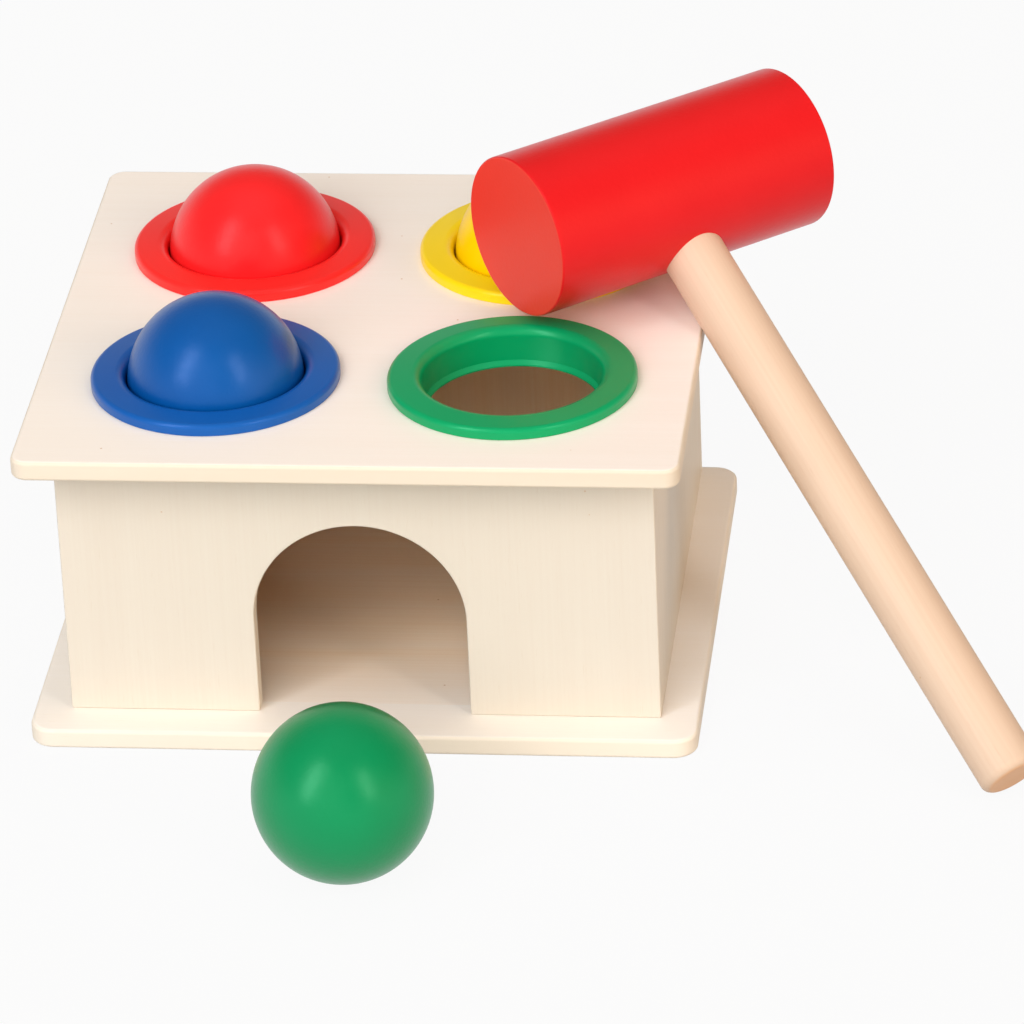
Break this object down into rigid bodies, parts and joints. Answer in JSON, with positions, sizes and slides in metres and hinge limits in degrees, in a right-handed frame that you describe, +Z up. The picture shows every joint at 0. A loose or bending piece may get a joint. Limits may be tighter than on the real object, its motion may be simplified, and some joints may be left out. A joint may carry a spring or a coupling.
{
  "type": "ball pounding bench",
  "caption": "Wooden pounding toy: a box with a round-topped doorway and collared holes in its top board, painted balls, and a wooden mallet lying over the edge",
  "frame": {"origin": "middle of the base board's underside, on the surface that the bench stands on", "axes": "+X to the right and +Y to the back when facing the doorway, +Z up"},
  "size_m": [0.2924, 0.2738, 0.1515],
  "materials": {
    "board_wood": "sanded birch plywood under a thin matt lacquer",
    "blue_plastic": "moulded, satin",
    "blue_rubber": "soft moulded lip, matt",
    "blue_paint": "turned wood under glossy paint",
    "green_plastic": "moulded, satin",
    "green_rubber": "soft moulded lip, matt",
    "green_paint": "turned wood under glossy paint",
    "red_plastic": "moulded, satin",
    "red_rubber": "soft moulded lip, matt",
    "red_paint": "turned wood under glossy paint",
    "yellow_plastic": "moulded, satin",
    "yellow_rubber": "soft moulded lip, matt",
    "yellow_paint": "turned wood under glossy paint",
    "handle_wood": "turned beech, smooth and bare",
    "pin_wood": "hidden beech pins",
    "screw_steel": "zinc-plated"
  },
  "bodies": {
    "bench": {"base_board": "board_wood", "front_panel": "board_wood", "back_panel": "board_wood", "left_panel": "board_wood", "right_panel": "board_wood", "top_board": "board_wood", "blue_collar": "blue_plastic", "green_collar": "green_plastic", "red_collar": "red_plastic", "yellow_collar": "yellow_plastic", "blue_grip_ring": "blue_rubber", "green_grip_ring": "green_rubber", "red_grip_ring": "red_rubber", "yellow_grip_ring": "yellow_rubber", "corner_pins": "pin_wood", "top_pins": "pin_wood", "base_screws": "screw_steel"},
    "blue_ball": {"blue_ball": "blue_paint"},
    "green_ball": {"green_ball": "green_paint"},
    "red_ball": {"red_ball": "red_paint"},
    "yellow_ball": {"yellow_ball": "yellow_paint"},
    "mallet": {"mallet_head": "red_paint", "mallet_handle": "handle_wood"}
  },
  "joints": [
    {"name": "red_ball_drop", "type": "slide", "parent": "bench", "child": "red_ball", "axis": [0, 0, 1], "range_m": [-0.065, 0.04], "deforming": ["red_grip_ring"]},
    {"name": "blue_ball_drop", "type": "slide", "parent": "bench", "child": "blue_ball", "axis": [0, 0, 1], "range_m": [-0.065, 0.04], "deforming": ["blue_grip_ring"]},
    {"name": "yellow_ball_drop", "type": "slide", "parent": "bench", "child": "yellow_ball", "axis": [0, 0, 1], "range_m": [-0.065, 0], "deforming": ["yellow_grip_ring"]},
    {"name": "green_ball_roll", "type": "slide", "parent": "bench", "child": "green_ball", "axis": [0, 1, 0], "range_m": [-0.1, 0.047]},
    {"name": "mallet_lift", "type": "slide", "parent": "bench", "child": "mallet", "axis": [0, 0, 1], "range_m": [0, 0.15]}
  ]
}
